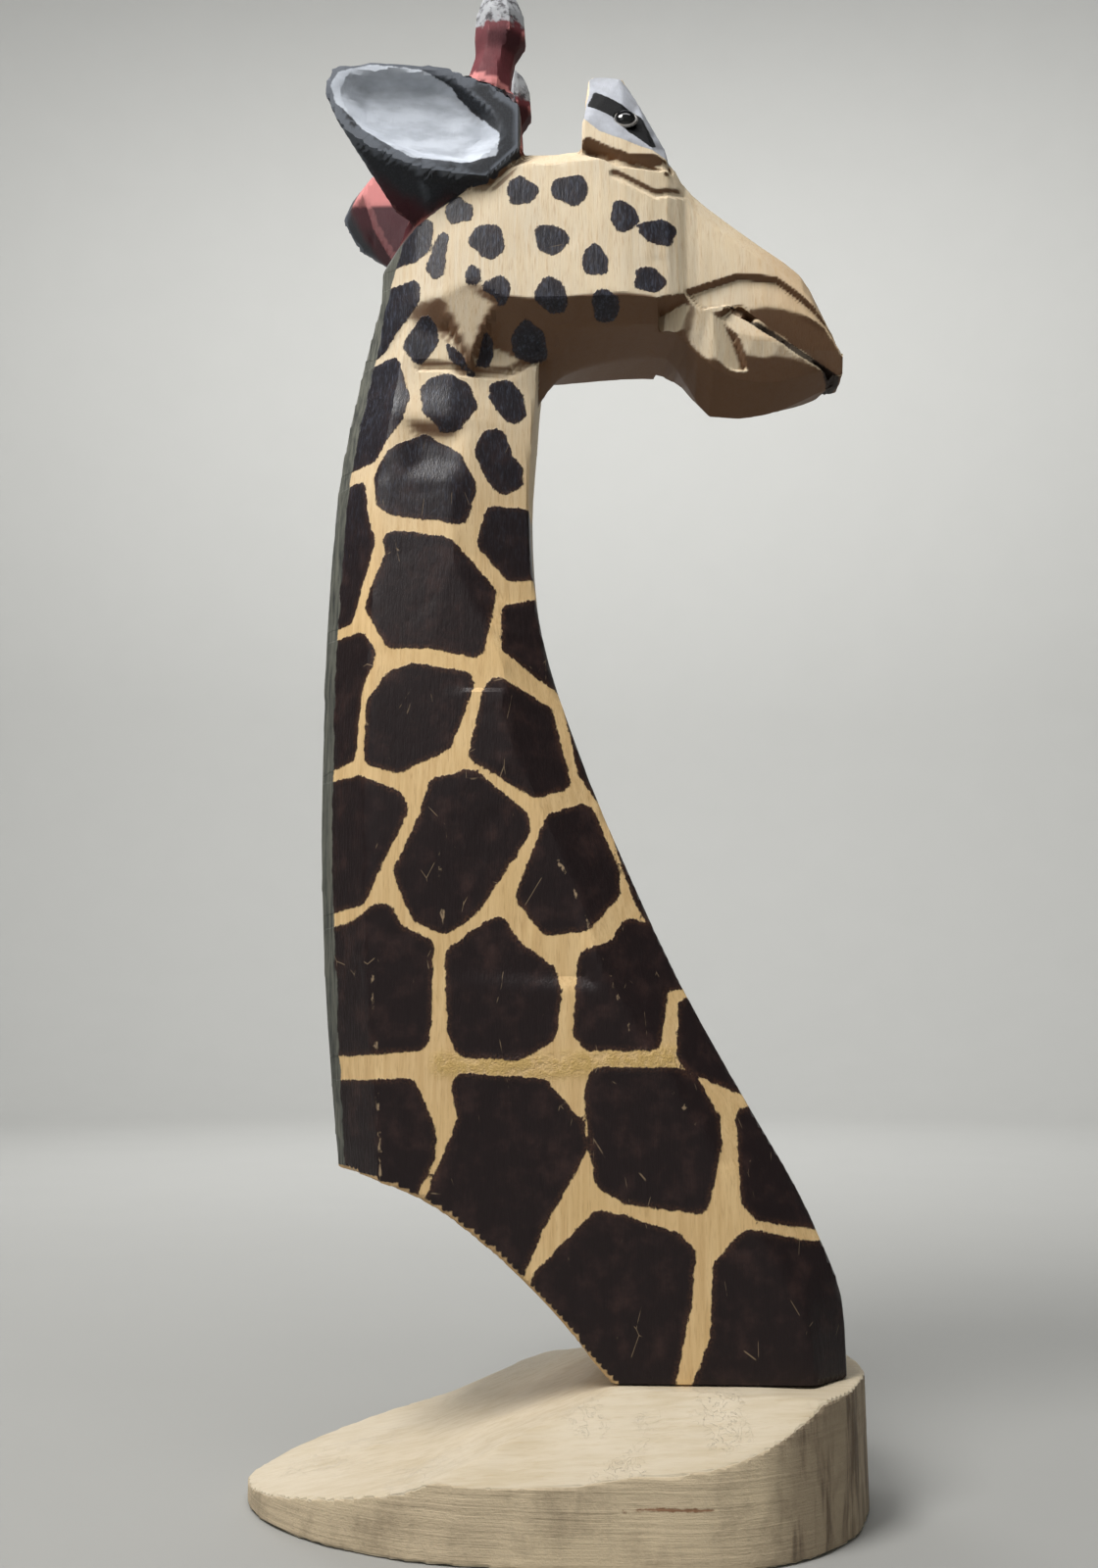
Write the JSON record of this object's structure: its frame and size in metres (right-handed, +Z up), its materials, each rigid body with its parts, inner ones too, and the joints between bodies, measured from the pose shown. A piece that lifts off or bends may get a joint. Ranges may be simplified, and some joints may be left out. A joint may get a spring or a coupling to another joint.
{
  "type": "carved giraffe statue",
  "caption": "Painted wooden giraffe bust carved from one plank, fixed upright on a carved block base to stand as an ornament.",
  "frame": {"origin": "centre of the base's flat underside, midway between its thin end and its round end", "axes": "+Z up along the figure, +X the way the giraffe's face points, +Y the giraffe's left side"},
  "size_m": [0.118, 0.07, 0.305],
  "materials": {
    "figure_wood": "pale tan carved wood with hand-painted dark brown patches, semi-gloss paint and bare wood lines between them",
    "base_wood": "bare pale softwood, knife-cut, with a rough greyed side wall",
    "eye_bead": "glossy black bead",
    "screw_steel": "zinc-plated steel",
    "dowel_wood": "plain beech dowel"
  },
  "bodies": {
    "root": {"neck_head": "figure_wood", "base": "base_wood", "eye_right": "eye_bead", "eye_left": "eye_bead", "screw_front": "screw_steel", "screw_rear": "screw_steel", "dowel": "dowel_wood"}
  },
  "joints": []
}
